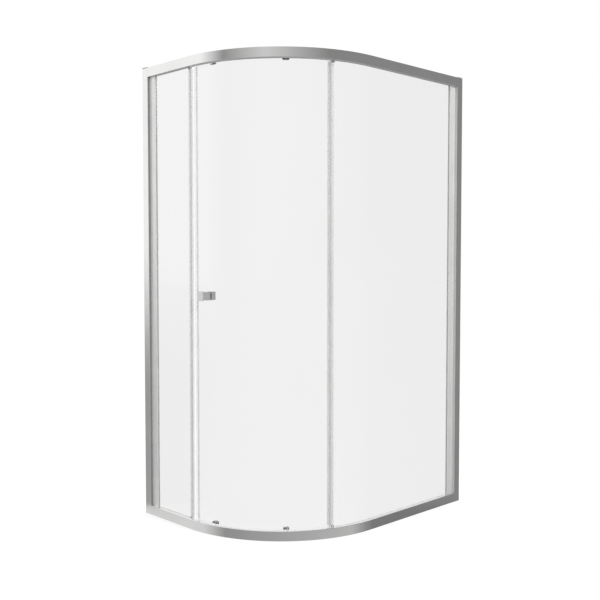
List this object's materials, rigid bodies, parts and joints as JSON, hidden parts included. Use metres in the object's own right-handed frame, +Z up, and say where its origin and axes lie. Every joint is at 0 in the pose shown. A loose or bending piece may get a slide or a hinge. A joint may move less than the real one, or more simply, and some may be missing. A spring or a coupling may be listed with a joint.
{
  "type": "quadrant shower enclosure",
  "caption": "Framed offset quadrant shower enclosure with bent clear glass, aluminium rails and wall channels, and a curved sliding door on grooved rollers.",
  "frame": {"origin": "the corner of the room at tray level, where the planes of the two walls and the tray's top meet", "axes": "+X along the wall behind towards the long glazed side, -Y towards the short glazed side, +Z up; the left wall is x = 0 and the right wall is y = 0"},
  "size_m": [0.861, 1.1706, 1.9525],
  "materials": {
    "polished_aluminium": "bright polished",
    "satin_aluminium": "satin",
    "clear_glass": "clear toughened, polished",
    "clear_seal": "clear soft plastic",
    "pale_gasket": "pale grey gasket",
    "grey_plastic": "silver grey, fine",
    "dark_plastic": "dark grey moulded",
    "black_rubber": "matt",
    "nylon": "smooth white nylon",
    "chrome": "mirror bright",
    "steel": "stainless, turned"
  },
  "bodies": {
    "frame": {"wall_channel_left": "polished_aluminium", "wall_channel_right": "polished_aluminium", "channel_cap_left": "grey_plastic", "channel_cap_right": "grey_plastic", "frame_profile_left": "satin_aluminium", "frame_profile_right": "satin_aluminium", "top_rail": "polished_aluminium", "bottom_rail": "polished_aluminium", "fixed_glass_left": "clear_glass", "fixed_glass_right": "clear_glass", "rail_gaskets_top": "pale_gasket", "rail_gaskets_bottom": "pale_gasket", "infill_strip_top": "pale_gasket", "infill_strip_bottom": "pale_gasket", "profile_gasket_left": "pale_gasket", "profile_gasket_right": "pale_gasket", "fixed_edge_seal_left": "clear_seal", "fixed_edge_seal_right": "clear_seal", "glass_clip_left_top": "dark_plastic", "glass_clip_left_bottom": "dark_plastic", "glass_clip_right_top": "dark_plastic", "glass_clip_right_bottom": "dark_plastic", "track_stops_top": "black_rubber", "track_stops_bottom": "black_rubber", "rail_end_screws": "steel", "lock_screws": "steel", "lock_screw_caps": "grey_plastic"},
    "door": {"door_glass": "clear_glass", "door_leading_seal": "clear_seal", "door_trailing_seal": "clear_seal", "top_axle_lead": "steel", "top_axle_trail": "steel", "top_carriage_lead": "chrome", "top_carriage_trail": "chrome", "top_glass_washers": "black_rubber", "top_cap_nuts": "chrome", "bottom_housing_lead": "dark_plastic", "bottom_housing_trail": "dark_plastic", "housing_screws": "steel", "housing_washers": "black_rubber", "handle_outer": "chrome", "handle_inner": "chrome", "handle_stud": "steel", "handle_washers": "black_rubber"},
    "top_wheel_lead": {"top_wheel_lead": "nylon", "top_bearing_lead": "steel"},
    "release_lead": {"release_slider_lead": "dark_plastic", "bottom_axle_lead": "steel", "release_spring_lead": "steel"},
    "bottom_wheel_lead": {"bottom_wheel_lead": "nylon", "bottom_bearing_lead": "steel"},
    "top_wheel_trail": {"top_wheel_trail": "nylon", "top_bearing_trail": "steel"},
    "release_trail": {"release_slider_trail": "dark_plastic", "bottom_axle_trail": "steel", "release_spring_trail": "steel"},
    "bottom_wheel_trail": {"bottom_wheel_trail": "nylon", "bottom_bearing_trail": "steel"}
  },
  "joints": [
    {"name": "door_slide", "type": "hinge", "parent": "frame", "child": "door", "pos_m": [0.326, -0.626, 0], "axis": [0, 0, 1], "range_deg": [0, 41]},
    {"name": "top_wheel_lead_spin", "type": "hinge", "parent": "door", "child": "top_wheel_lead", "pos_m": [0.43374, -1.12858, 1.9343], "axis": [0.2096, -0.9778, 0], "continuous": true},
    {"name": "release_lead_press", "type": "slide", "parent": "door", "child": "release_lead", "axis": [0, 0, -1], "range_m": [0, 0.003], "stiffness_N_per_m": 1200, "springref_m": -0.002, "deforming": ["release_spring_lead"]},
    {"name": "bottom_wheel_lead_spin", "type": "hinge", "parent": "release_lead", "child": "bottom_wheel_lead", "pos_m": [0.43374, -1.12858, 0.0182], "axis": [0.2096, -0.9778, 0], "continuous": true},
    {"name": "top_wheel_trail_spin", "type": "hinge", "parent": "door", "child": "top_wheel_trail", "pos_m": [0.70858, -0.96927, 1.9343], "axis": [0.7443, -0.6678, 0], "continuous": true},
    {"name": "release_trail_press", "type": "slide", "parent": "door", "child": "release_trail", "axis": [0, 0, -1], "range_m": [0, 0.003], "stiffness_N_per_m": 1200, "springref_m": -0.002, "deforming": ["release_spring_trail"]},
    {"name": "bottom_wheel_trail_spin", "type": "hinge", "parent": "release_trail", "child": "bottom_wheel_trail", "pos_m": [0.70858, -0.96927, 0.0182], "axis": [0.7443, -0.6678, 0], "continuous": true}
  ],
  "couplings": [
    {"joint": "top_wheel_lead_spin", "follows": "door_slide", "ratio": -51.4},
    {"joint": "bottom_wheel_lead_spin", "follows": "door_slide", "ratio": 68.533},
    {"joint": "top_wheel_trail_spin", "follows": "door_slide", "ratio": -51.4},
    {"joint": "bottom_wheel_trail_spin", "follows": "door_slide", "ratio": 68.533}
  ]
}
